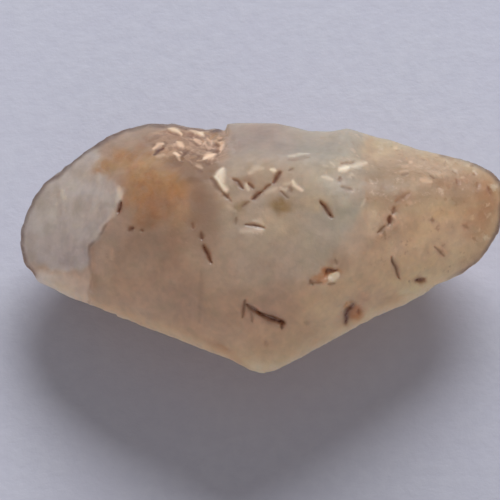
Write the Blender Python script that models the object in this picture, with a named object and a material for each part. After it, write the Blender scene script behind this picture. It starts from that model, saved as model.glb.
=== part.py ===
"""A rough sapphire crystal, worn by water: a stubby double pyramid lying on one of its faces.

Metres, +Z up. The origin is under the middle of the crystal, on the surface that it rests on, and +X
runs towards its pointed end. It grew as one piece, so it is one solid.

The solid is made in the order that the real one came about: the grown faces and the corners knocked off
them, then the wear that rounded the edges, then growth steps, chips, pits and etched channels.
All lengths below are in millimetres.
"""

import bmesh
import bpy
from mathutils import Matrix, Vector, noise
from mathutils.bvhtree import BVHTree

MM = 0.001

# ---- driving dimensions ---------------------------------------------------------------------------
LENGTH = 18.0  # blunt end to point, along X
WIDTH = 9.7  # along Y
HEIGHT = 6.6  # from the foot to the top of the ridge
SAME_CORNER = 0.15  # corners of the broken faces closer than this are one corner
EDGE_MAX = 0.72  # the grown faces are divided until no edge is longer than this
EDGE_MIN = 0.22  # and edges shorter than this are closed up
FLAT = 0.15  # radians between triangles that lie in one face
WEAR_ROUNDS = 3  # how often the edges are rubbed down
WEAR = 0.42  # how far each rub pulls a point towards its neighbours
RELIEF = 0.060  # how far the grown faces wander from flat
RELIEF_SPAN = 2.4  # the width of one such swell
FINE_RELIEF = 0.020
FINE_SPAN = 0.8
FOOT_LIP = 0.5  # the relief fades out below this height, so that the foot stays flat
BALL_DETAIL = 3

# The girdle, where the upper and lower pyramids meet, from the blunt end.
GIRDLE = [
    (-9.22, 0.20, 2.30),
    (-9.08, -0.60, 2.30),
    (-8.50, -1.32, 2.40),
    (-6.20, -2.42, 3.00),
    (-2.32, -4.10, 3.60),
    (-0.20, -5.12, 3.80),
    (0.85, -5.06, 3.80),
    (3.72, -3.28, 3.50),
    (6.75, -1.50, 3.20),
    (8.12, -0.52, 3.10),
    (9.05, 0.90, 3.20),
    (9.22, 2.10, 3.30),
    (8.92, 3.10, 3.40),
    (7.85, 3.62, 3.50),
    (5.88, 4.02, 3.70),
    (3.26, 4.74, 3.80),
    (0.60, 4.94, 3.80),
    (-1.72, 4.98, 3.60),
    (-3.92, 4.99, 3.60),
    (-5.16, 4.76, 3.50),
    (-6.48, 4.05, 3.20),
    (-7.69, 3.22, 2.90),
    (-8.64, 2.20, 2.60),
    (-9.06, 1.26, 2.40),
]

# The corners of the upper pyramid's faces: its flat-topped ridge, then those below the ridge.
CROWN = [
    (-2.43, 2.04, 6.50),
    (-1.08, 2.52, 6.60),
    (1.46, 2.62, 6.55),
    (3.33, 1.26, 6.50),
    (3.40, -0.60, 6.30),
    (2.58, -2.22, 5.85),
    (0.15, -2.99, 5.60),
    (-2.09, -2.27, 5.75),
    (-2.66, -0.25, 6.30),
    (-4.15, 2.70, 5.55),
    (-5.30, 1.40, 5.12),
    (-5.95, -0.02, 4.48),
    (-6.40, -1.71, 3.85),
    (6.69, 1.58, 5.30),
    (6.32, -0.39, 4.70),
    (8.10, 1.60, 4.35),
    (5.57, 2.74, 5.40),
]

# The corners of the lower pyramid.
KEEL = [
    (-7.45, 0.10, 0.95),
    (-6.70, 2.20, 1.15),
    (-4.40, -1.90, 1.20),
    (-1.20, -3.15, 1.55),
    (2.90, -2.45, 1.50),
    (6.30, -0.10, 1.35),
    (7.35, 1.90, 1.65),
    (5.30, 3.10, 1.45),
    (1.60, 3.95, 1.35),
    (-3.20, 4.00, 1.30),
]

# The face that the crystal lies on, at z = 0.
FOOT = [
    (-5.90, 0.25),
    (-5.10, -0.80),
    (-1.90, -1.90),
    (1.20, -1.85),
    (4.20, -0.70),
    (5.00, 0.80),
    (3.90, 2.20),
    (0.50, 2.85),
    (-3.30, 2.80),
    (-5.40, 1.70),
]

# Corners knocked off before the wear set in, each a flat break. A break passes through three places on
# the sharp crystal, or this far below them: (three places, depth)
BREAKS = [
    ((-2.00, 3.00, 5.90), (-4.70, 2.90, 5.10), (-3.20, 4.60, 4.00), 0.10),
    ((-0.70, -4.10, 4.70), (1.40, -4.00, 4.60), (0.20, -4.75, 3.95), 0.10),
    ((6.70, -0.90, 3.90), (8.70, 0.80, 3.30), (6.90, 0.50, 4.80), 0.05),
    ((3.20, 3.40, 5.40), (6.60, 3.10, 4.60), (5.00, 4.20, 4.00), 0.06),
    ((-8.60, 1.60, 2.10), (-8.40, -0.40, 1.90), (-6.90, 1.40, 1.10), 0.05),
    ((-4.80, -2.70, 2.20), (-2.60, -3.60, 2.70), (-3.20, -2.60, 1.40), 0.08),
    ((4.20, -2.50, 2.70), (6.60, -1.20, 2.50), (5.00, -1.20, 1.40), 0.08),
    ((0.80, 4.60, 2.70), (4.00, 4.30, 2.80), (2.20, 3.90, 1.30), 0.07),
    ((-6.60, 3.50, 2.40), (-4.60, 4.40, 2.70), (-5.20, 3.30, 1.30), 0.07),
    ((8.70, 1.20, 2.70), (7.60, -0.30, 2.40), (7.20, 1.30, 1.60), 0.05),
]

# Growth steps. A thin wedge is missing beside each. It is deepest at the first place, on the step's
# line, and runs out at the second, further up the line, and at the third, away from it.
# (first place, second place, third place, depth)
STEPS = [
    ((-1.31, 4.95, 3.70), (-1.04, 2.16, 6.60), (-5.03, 4.51, 3.60), 0.32),
    ((-2.27, -3.75, 4.05), (-2.47, -1.27, 5.90), (-4.80, -2.45, 3.90), 0.08),
    ((3.26, 4.51, 4.00), (3.75, 1.86, 6.30), (7.30, 3.14, 4.10), 0.10),
    ((0.99, -4.61, 3.10), (1.09, -2.35, 1.20), (4.60, -2.45, 2.60), 0.16),
    ((-4.54, 4.61, 3.00), (-4.74, 2.55, 0.80), (0.49, 4.31, 2.40), 0.16),
    ((5.03, 3.92, 3.00), (4.34, 2.65, 0.80), (8.09, 2.55, 2.60), 0.14),
    ((-6.12, -2.06, 2.50), (-5.33, -0.88, 0.60), (-7.50, -0.39, 1.50), 0.08),
]

# Shell-shaped chips out of the edges, each a bowl of a ball: (place, ball radius, depth)
CHIPS = [
    ((6.17, -1.81, 3.30), 0.80, 0.16),
    ((8.49, 0.10, 3.10), 0.90, 0.07),
    ((-3.06, 4.70, 4.00), 1.20, 0.14),
    ((0.74, -5.00, 3.50), 1.10, 0.16),
    ((-7.60, -1.71, 2.50), 1.40, 0.16),
    ((2.17, 4.80, 3.60), 1.50, 0.18),
    ((-6.81, 3.72, 2.90), 1.30, 0.16),
    ((4.54, -2.74, 3.10), 1.20, 0.14),
]

# Small pits with broken floors: (place, width, depth)
PITS = [
    ((2.44, -1.59, 6.00), 0.62, 0.22),
    ((3.32, -2.72, 5.00), 0.66, 0.26),
    ((-0.35, 1.42, 6.50), 0.55, 0.16),
    ((-2.17, -3.04, 1.80), 0.60, 0.22),
    ((3.55, 3.53, 1.80), 0.70, 0.24),
]

# Channels etched along the crystal's own directions: (one end, other end, width, depth)
CHANNELS = [
    ((-0.41, -2.78, 5.60), (0.83, -3.37, 5.20), 0.17, 0.24),
    ((-0.36, -2.67, 5.60), (-0.49, -3.04, 5.40), 0.13, 0.20),
    ((-2.14, -0.41, 6.20), (-1.78, -1.18, 6.00), 0.11, 0.18),
    ((2.25, 0.90, 6.50), (2.66, 0.35, 6.40), 0.11, 0.20),
    ((-0.51, 0.77, 6.50), (1.11, 2.06, 6.50), 0.12, 0.16),
    ((-0.78, 0.10, 6.40), (0.04, 0.02, 6.40), 0.12, 0.16),
    ((4.88, -0.82, 5.00), (5.17, -1.47, 4.50), 0.10, 0.18),
    ((-0.99, 3.82, 1.80), (0.49, 3.92, 1.80), 0.15, 0.24),
    ((5.03, -1.37, 1.80), (6.02, -0.98, 1.80), 0.14, 0.20),
]


def on_surface(tree, place):
    """The point of the surface nearest to this place, and the outward normal there."""
    point, normal, _, _ = tree.find_nearest(Vector(place))
    return point, normal


def knock_off(bm, places, depth):
    """Removes what lies outside the plane through these places, and closes the crystal there."""
    bm.normal_update()
    tree = BVHTree.FromBMesh(bm)
    a, b, c = (on_surface(tree, place)[0] for place in places)
    out = (b - a).cross(c - a).normalized()
    middle = sum((v.co for v in bm.verts), Vector()) / len(bm.verts)
    if out.dot(a - middle) < 0:
        out.negate()
    geometry = bm.verts[:] + bm.edges[:] + bm.faces[:]
    made = bmesh.ops.bisect_plane(
        bm, geom=geometry, plane_co=a - out * depth, plane_no=out, clear_outer=True
    )
    rim = [g for g in made["geom_cut"] if isinstance(g, bmesh.types.BMEdge)]
    bmesh.ops.holes_fill(bm, edges=rim)
    bmesh.ops.dissolve_degenerate(bm, edges=bm.edges, dist=1e-3)
    bmesh.ops.triangulate(bm, faces=bm.faces, quad_method="SHORT_EDGE", ngon_method="BEAUTY")
    bmesh.ops.recalc_face_normals(bm, faces=bm.faces)


def wrap(bm):
    """Makes the solid that the points span, and drops the points inside it."""
    made = bmesh.ops.convex_hull(bm, input=bm.verts, use_existing_faces=False)
    spare = {g for g in made["geom_interior"] + made["geom_unused"] if isinstance(g, bmesh.types.BMVert)}
    bmesh.ops.delete(bm, geom=list(spare), context="VERTS")
    bmesh.ops.recalc_face_normals(bm, faces=bm.faces)


def even_out(bm):
    """Closes up the shortest edges, then turns edges within the faces to make the triangles plumper."""
    for edge in sorted(bm.edges, key=lambda e: e.calc_length()):
        if not edge.is_valid or edge.calc_length() > EDGE_MIN:
            continue
        a, b = edge.verts
        around = [{e.other_vert(v) for e in v.link_edges} for v in (a, b)]
        if len(around[0] & around[1]) == 2:
            low, high = sorted((a, b), key=lambda v: v.co.z)
            place = low.co.copy() if low.co.z < 1e-4 else (low.co + high.co) / 2
            bmesh.ops.pointmerge(bm, verts=[low, high], merge_co=place)
    bm.normal_update()
    flat = [e for e in bm.edges if e.calc_face_angle() < FLAT]
    bmesh.ops.beautify_fill(bm, faces=bm.faces, edges=flat, method="ANGLE")
    bmesh.ops.recalc_face_normals(bm, faces=bm.faces)


def grown_faces():
    """The sharp crystal: the solid that the corners span, its faces divided into small triangles."""
    bm = bmesh.new()
    for corner in GIRDLE + CROWN + KEEL + [(x, y, 0.0) for x, y in FOOT]:
        bm.verts.new(corner)
    wrap(bm)
    for *places, depth in BREAKS:
        knock_off(bm, places, depth)
    bmesh.ops.remove_doubles(bm, verts=bm.verts, dist=SAME_CORNER)
    bmesh.ops.delete(bm, geom=bm.edges[:] + bm.faces[:], context="EDGES_FACES")
    wrap(bm)
    while long := [e for e in bm.edges if e.calc_length() > EDGE_MAX]:
        bmesh.ops.subdivide_edges(bm, edges=long, cuts=1)
        bmesh.ops.triangulate(bm, faces=bm.faces, quad_method="SHORT_EDGE", ngon_method="BEAUTY")
    even_out(bm)
    return bm


def wear_down(bm):
    """Rubs every point towards the middle of its neighbours, which rounds edges and leaves faces flat."""
    for _ in range(WEAR_ROUNDS):
        moved = {}
        for v in bm.verts:
            near = [e.other_vert(v).co for e in v.link_edges]
            mean = sum(near, Vector()) / len(near)
            moved[v] = v.co.copy() if v.co.z < 1e-4 else v.co.lerp(mean, WEAR)
        for v, co in moved.items():
            v.co = co


def add_relief(bm):
    """Gentle swells over all faces but the foot."""
    bm.normal_update()
    shift = {}
    for v in bm.verts:
        fade = min(max(v.co.z / FOOT_LIP, 0.0), 1.0)
        fade = fade * fade * (3 - 2 * fade)
        swell = noise.noise(v.co / RELIEF_SPAN + Vector((11.3, 4.1, 7.7))) * RELIEF
        swell += noise.noise(v.co / FINE_SPAN + Vector((2.9, 8.3, 1.1))) * FINE_RELIEF
        shift[v] = v.normal * swell * fade
    for v, d in shift.items():
        v.co += d


def to_size(bm):
    """Brings the crystal to its size, with its foot at z = 0 and its middle over the origin."""
    low = Vector([min(v.co[i] for v in bm.verts) for i in range(3)])
    high = Vector([max(v.co[i] for v in bm.verts) for i in range(3)])
    middle = Vector(((low.x + high.x) / 2, (low.y + high.y) / 2, low.z))
    for v in bm.verts:
        for i, size in enumerate((LENGTH, WIDTH, HEIGHT)):
            v.co[i] = (v.co[i] - middle[i]) * size / (high[i] - low[i])


def axes_for(out, along):
    """A turn whose Z axis is out and whose X axis is as near to along as it can be."""
    z = Vector(out).normalized()
    x = Vector(along)
    x = (x - z * x.dot(z)).normalized()
    y = z.cross(x)
    return Matrix((x, y, z)).transposed().to_4x4()


def step_cutter(bm, tree, deep, up, away, depth):
    """The wedge that is missing beside a growth step."""
    a, normal = on_surface(tree, deep)
    b, _ = on_surface(tree, up)
    c, _ = on_surface(tree, away)
    a = a - normal * depth
    line, across = b - a, c - a
    floor = line.cross(across).normalized()
    if floor.dot(normal) < 0:
        floor.negate()
    corners = []
    for i, j in ((-1.0, 0.0), (1.6, 0.0), (1.6, 1.8), (-1.0, 1.8)):
        foot = a + line * i + across * j
        corners += [bm.verts.new(foot), bm.verts.new(foot + floor * 2.5)]
    bmesh.ops.convex_hull(bm, input=corners, use_existing_faces=False)


def bowl_cutter(bm, tree, place, radius, depth):
    point, normal = on_surface(tree, place)
    centre = point + normal * (radius - depth)
    turn = Matrix.Translation(centre) @ axes_for(normal, (0.3, 0.9, 0.4))
    bmesh.ops.create_icosphere(bm, subdivisions=BALL_DETAIL, radius=radius, matrix=turn)


def pit_cutter(bm, tree, place, width, depth):
    """A blunt, uneven cone, longer one way than the other."""
    point, normal = on_surface(tree, place)
    turn = Matrix.Translation(point - normal * depth) @ axes_for(normal, (0.8, 0.5, 0.1))
    corners = []
    for k in range(7):
        angle = Matrix.Rotation(k * 2 * 3.14159265 / 7, 3, "Z")
        wobble = 0.5 + 0.22 * noise.noise(Vector((k * 1.7, place[0], place[1])))
        rim = angle @ Vector((width * wobble, 0.0, 0.0))
        corners.append(bm.verts.new(turn @ Vector((rim.x * 0.45, rim.y * 0.3, 0.0))))
        corners.append(bm.verts.new(turn @ Vector((rim.x * 1.5, rim.y * 1.1, depth * 2.0))))
    bmesh.ops.convex_hull(bm, input=corners, use_existing_faces=False)


def channel_cutter(bm, tree, start, end, width, depth):
    """A wedge along the channel, narrower at its floor and at its far end."""
    start, first = on_surface(tree, start)
    end, last = on_surface(tree, end)
    run = end - start
    turn = Matrix.Translation((start + end) / 2) @ axes_for(first + last, run)
    half = run.length / 2
    corners = []
    for z, narrow in ((-depth, 0.55), (0.5, 1.6)):
        for x, taper in ((-half, 0.7), (half, 1.0)):
            for y in (-0.5, 0.5):
                corners.append(bm.verts.new(turn @ Vector((x, y * width * narrow * taper, z))))
    bmesh.ops.convex_hull(bm, input=corners, use_existing_faces=False)


def as_object(bm, name):
    bmesh.ops.scale(bm, vec=(MM,) * 3, verts=bm.verts)
    bmesh.ops.recalc_face_normals(bm, faces=bm.faces)
    mesh = bpy.data.meshes.new(name)
    bm.to_mesh(mesh)
    bm.free()
    obj = bpy.data.objects.new(name, mesh)
    bpy.context.scene.collection.objects.link(obj)
    return obj


def cut(obj, tree, name, maker, sizes):
    """Takes the shapes that maker makes for these sizes off the object."""
    bm = bmesh.new()
    for size in sizes:
        maker(bm, tree, *size)
    cutter = as_object(bm, name)
    cutter.hide_render = True
    cutter.display_type = "WIRE"
    modifier = obj.modifiers.new(name, "BOOLEAN")
    modifier.operation = "DIFFERENCE"
    modifier.solver = "EXACT"
    modifier.use_self = True
    modifier.object = cutter


def sapphire():
    material = bpy.data.materials.new("sapphire")
    material.use_nodes = True
    shader = material.node_tree.nodes["Principled BSDF"]
    shader.inputs["Base Color"].default_value = (0.78, 0.66, 0.53, 1.0)
    shader.inputs["Roughness"].default_value = 0.35
    shader.inputs["Metallic"].default_value = 0.0
    shader.inputs["IOR"].default_value = 1.77
    shader.inputs["Transmission Weight"].default_value = 0.7
    return material


def main():
    for old in list(bpy.data.objects):
        bpy.data.objects.remove(old)
    bm = grown_faces()
    wear_down(bm)
    add_relief(bm)
    to_size(bm)
    tree = BVHTree.FromBMesh(bm)
    crystal = as_object(bm, "sapphire_crystal")
    crystal.data.materials.append(sapphire())
    cut(crystal, tree, "growth_steps", step_cutter, STEPS)
    cut(crystal, tree, "edge_chips", bowl_cutter, CHIPS)
    cut(crystal, tree, "pits", pit_cutter, PITS)
    cut(crystal, tree, "etched_channels", channel_cutter, CHANNELS)


main()
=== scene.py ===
"""The looks of the rough sapphire crystal: its worn skin, its colour zones, and what is sealed in it."""

import math

import bpy
import numpy as np
from mathutils import Matrix, Vector
from mathutils.bvhtree import BVHTree


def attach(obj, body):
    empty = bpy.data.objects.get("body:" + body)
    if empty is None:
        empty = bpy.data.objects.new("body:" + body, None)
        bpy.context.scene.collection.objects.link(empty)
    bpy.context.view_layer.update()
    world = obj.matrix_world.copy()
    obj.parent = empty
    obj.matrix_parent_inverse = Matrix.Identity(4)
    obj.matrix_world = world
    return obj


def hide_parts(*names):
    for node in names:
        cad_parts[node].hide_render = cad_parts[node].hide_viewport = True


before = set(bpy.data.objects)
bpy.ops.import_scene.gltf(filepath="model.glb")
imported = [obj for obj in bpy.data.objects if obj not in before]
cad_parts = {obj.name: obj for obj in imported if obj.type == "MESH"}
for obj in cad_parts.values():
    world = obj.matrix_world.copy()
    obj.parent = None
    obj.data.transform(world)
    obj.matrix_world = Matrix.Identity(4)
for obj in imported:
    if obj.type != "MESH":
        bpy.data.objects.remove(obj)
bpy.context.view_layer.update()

MM = 0.001

# ---- the camera, in millimetres ---------------------------------------------------------------------
PX = 0.0369  # one pixel of the 500-pixel frame, in the plane through the camera's target
ELEVATION = math.radians(76)
EYE_HEIGHT = 3.5  # the girdle's height, which the camera looks at
DISTANCE = 160.0
SIN, COS = math.sin(ELEVATION), math.cos(ELEVATION)


def seen(px, py):
    """A pixel's place in the picture plane, in millimetres."""
    return ((px - 261.0) * PX, (247.5 - py) * PX)


U0, V0 = seen(250, 250)
TARGET = np.array([U0, V0 / SIN, EYE_HEIGHT])
BACK = np.array([0.0, -COS, SIN])  # from the target to the camera
ACROSS = np.array([1.0, 0.0, 0.0])
RISE = np.array([0.0, SIN, COS])


def plane_of(points):
    """Where the points show in the picture plane."""
    d = points - TARGET
    grow = DISTANCE / (DISTANCE - d @ BACK)
    return np.stack([U0 + (d @ ACROSS) * grow, V0 + (d @ RISE) * grow], 1)


def surface_at(tree, px, py):
    """Where a pixel's line of sight meets the skin, and the skin's normal there."""
    u, v = seen(px, py)
    eye = TARGET + BACK * DISTANCE
    place = TARGET + ACROSS * (u - U0) + RISE * (v - V0)
    hit, normal, _, _ = tree.ray_cast(Vector(eye), Vector(place - eye).normalized())
    return (None, None) if hit is None else (np.array(hit), np.array(normal))


# ---- small numeric helpers --------------------------------------------------------------------------
def smooth(x, low, high):
    t = np.clip((x - low) / (high - low), 0.0, 1.0)
    return t * t * (3 - 2 * t)


def noise(points, size, seed):
    """Gradient noise from about -1 to 1 at these points, with swells of this size."""
    rng = np.random.default_rng(seed)
    order = rng.permutation(256)
    slopes = rng.normal(size=(256, 3))
    slopes /= np.linalg.norm(slopes, axis=1, keepdims=True)
    q = points / size + rng.uniform(0, 64, 3)
    cell = np.floor(q).astype(np.int64)
    f = q - cell
    fade = f * f * f * (f * (f * 6 - 15) + 10)
    total = np.zeros(len(points))
    for corner in range(8):
        step = np.array([corner & 1, corner >> 1 & 1, corner >> 2 & 1])
        c = cell + step
        pick = order[(order[(order[c[:, 0] & 255] + c[:, 1]) & 255] + c[:, 2]) & 255]
        near = np.where(step == 1, fade, 1 - fade).prod(axis=1)
        total += near * np.einsum("ij,ij->i", slopes[pick], f - step)
    return total * 1.7


def layered(points, size, seed, layers=4, fall=0.5):
    total, most, weight = np.zeros(len(points)), 0.0, 1.0
    for k in range(layers):
        total += weight * noise(points, size / 2**k, seed + k)
        most += weight
        weight *= fall
    return total / most


def blob(uv, px, py, rx, ry, turn=0.0, soft=0.35, wobble=None):
    """1 inside an ellipse of the picture and 0 outside. Sizes are in pixels, the turn in degrees."""
    d = uv - np.array(seen(px, py))
    if wobble is not None:
        d = d + wobble
    c, s = math.cos(math.radians(turn)), math.sin(math.radians(turn))
    x = (d[:, 0] * c + d[:, 1] * s) / (rx * PX)
    y = (-d[:, 0] * s + d[:, 1] * c) / (ry * PX)
    return 1 - smooth(np.sqrt(x * x + y * y), 1 - soft, 1 + soft)


def along(uv, path):
    """Distance to a line of pixels, in millimetres, and how far along the line, from 0 to 1."""
    spots = np.array([seen(*p) for p in path])
    runs = np.linalg.norm(np.diff(spots, axis=0), axis=1)
    whole, done = runs.sum(), 0.0
    best = np.full(len(uv), 1e9)
    part = np.zeros(len(uv))
    for a, b, run in zip(spots[:-1], spots[1:], runs):
        t = np.clip(((uv - a) @ (b - a)) / run**2, 0, 1)
        d = np.linalg.norm(uv - (a + t[:, None] * (b - a)), axis=1)
        nearer = d < best
        best = np.where(nearer, d, best)
        part = np.where(nearer, (done + t * run) / whole, part)
        done += run
    return best, part


def stroke(uv, path, half, taper=0.45, core=0.35):
    """1 along a line of pixels, which thins towards its ends, and 0 past its half width."""
    d, t = along(uv, path)
    width = half * PX * (1.0 - taper * np.abs(2 * t - 1) ** 2)
    return 1 - smooth(d, width * core, width * 1.45)


def inside(uv, corners, soft):
    """1 inside a polygon of pixels, falling to 0 over soft millimetres about its edge."""
    spots = np.array([seen(*p) for p in corners])
    within = np.zeros(len(uv), bool)
    for a, b in zip(spots, np.roll(spots, -1, axis=0)):
        crosses = (a[1] > uv[:, 1]) != (b[1] > uv[:, 1])
        with np.errstate(divide="ignore", invalid="ignore"):
            x = (b[0] - a[0]) * (uv[:, 1] - a[1]) / (b[1] - a[1]) + a[0]
        within ^= crosses & (uv[:, 0] < x)
    d, _ = along(uv, list(corners) + [corners[0]])
    return smooth(np.where(within, d, -d), -soft, soft)


# ---- the crystal's skin -----------------------------------------------------------------------------
VOXEL = 0.121  # the even mesh under everything; the marked places are halved twice


def skin_of(node):
    """The CAD crystal as an even mesh, in millimetres: its points and its four-cornered faces."""
    mesh = node.data.copy()
    mesh.transform(Matrix.Scale(1 / MM, 4))
    rough = bpy.data.objects.new("skin_source", mesh)
    bpy.context.scene.collection.objects.link(rough)
    remesh = rough.modifiers.new("even", "REMESH")
    remesh.mode = "VOXEL"
    remesh.voxel_size = VOXEL
    graph = bpy.context.evaluated_depsgraph_get()
    fine = bpy.data.meshes.new_from_object(rough.evaluated_get(graph), depsgraph=graph)
    points = np.zeros(len(fine.vertices) * 3)
    fine.vertices.foreach_get("co", points)
    faces = np.zeros(len(fine.loops), np.int64)
    fine.loops.foreach_get("vertex_index", faces)
    assert len(faces) == 4 * len(fine.polygons)
    bpy.data.objects.remove(rough)
    bpy.data.meshes.remove(fine)
    bpy.data.meshes.remove(mesh)
    return points.reshape(-1, 3), faces.reshape(-1, 4)


def in_triangles(points, quads):
    """Each four-cornered face cut along its shorter diagonal."""
    first = np.linalg.norm(points[quads[:, 0]] - points[quads[:, 2]], axis=1)
    other = np.linalg.norm(points[quads[:, 1]] - points[quads[:, 3]], axis=1)
    turned = np.where((first <= other)[:, None], quads, np.roll(quads, -1, axis=1))
    return np.concatenate([turned[:, [0, 1, 2]], turned[:, [0, 2, 3]]])


def edges_of(faces):
    ends = np.concatenate([faces[:, [k, (k + 1) % faces.shape[1]]] for k in range(faces.shape[1])])
    return np.unique(np.sort(ends, axis=1), axis=0)


def normals_of(points, faces):
    if faces.shape[1] == 4:
        flat = np.cross(points[faces[:, 2]] - points[faces[:, 0]], points[faces[:, 3]] - points[faces[:, 1]])
    else:
        flat = np.cross(points[faces[:, 1]] - points[faces[:, 0]], points[faces[:, 2]] - points[faces[:, 0]])
    total = np.zeros_like(points)
    for k in range(faces.shape[1]):
        for i in range(3):
            total[:, i] += np.bincount(faces[:, k], flat[:, i], len(points))
    return total / np.maximum(np.linalg.norm(total, axis=1, keepdims=True), 1e-12)


def relax(points, faces, rounds, pull=0.5, where=1.0, back=0.98):
    """Rubs the mesh smooth, but keeps its size. With a back of 0 it wears the bumps down."""
    edges = edges_of(faces)
    a, b = np.concatenate([edges[:, 0], edges[:, 1]]), np.concatenate([edges[:, 1], edges[:, 0]])
    count = np.bincount(a, minlength=len(points))[:, None]
    for k in range(rounds):
        for amount in (pull, -pull * back) if back else (pull,):
            mean = np.stack([np.bincount(a, points[b, i], len(points)) for i in range(3)], 1) / count
            points = points + amount * where * (mean - points)
    return points


def spread(values, edges, rounds):
    """Each point's value evened out with its neighbours'."""
    a, b = np.concatenate([edges[:, 0], edges[:, 1]]), np.concatenate([edges[:, 1], edges[:, 0]])
    count = np.bincount(a, minlength=len(values))
    for _ in range(rounds):
        values = 0.5 * values + 0.5 * np.bincount(a, values[b], len(values)) / count
    return values


def halve(points, faces, marked):
    """Halves the sides of the marked triangles, and splits their neighbours to fit."""
    sides = np.concatenate([faces[:, [0, 1]], faces[:, [1, 2]], faces[:, [2, 0]]])
    edges, index = np.unique(np.sort(sides, axis=1), axis=0, return_inverse=True)
    index = index.reshape(3, -1).T
    split = np.zeros(len(edges), bool)
    split[index[marked].ravel()] = True
    middle = np.full(len(edges), -1)
    middle[split] = len(points) + np.arange(split.sum())
    new = middle[index]
    count = (new >= 0).sum(axis=1)
    t, k = faces[count == 3], new[count == 3]
    out = [
        faces[count == 0],
        np.stack([t[:, 0], k[:, 0], k[:, 2]], 1),
        np.stack([k[:, 0], t[:, 1], k[:, 1]], 1),
        np.stack([k[:, 2], k[:, 1], t[:, 2]], 1),
        np.stack([k[:, 0], k[:, 1], k[:, 2]], 1),
    ]
    for r in range(3):
        pick = (count == 1) & (new[:, r] >= 0)
        t, k = np.roll(faces[pick], -r, axis=1), new[pick, r]
        out += [np.stack([t[:, 0], k, t[:, 2]], 1), np.stack([k, t[:, 1], t[:, 2]], 1)]
        pick = (count == 2) & (new[:, r] < 0)
        t, k = np.roll(faces[pick], -r - 1, axis=1), np.roll(new[pick], -r - 1, axis=1)
        out += [
            np.stack([k[:, 0], t[:, 1], k[:, 1]], 1),
            np.stack([t[:, 0], k[:, 0], k[:, 1]], 1),
            np.stack([t[:, 0], k[:, 1], t[:, 2]], 1),
        ]
    return np.concatenate([points, points[edges[split]].mean(axis=1)]), np.concatenate(out)


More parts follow.
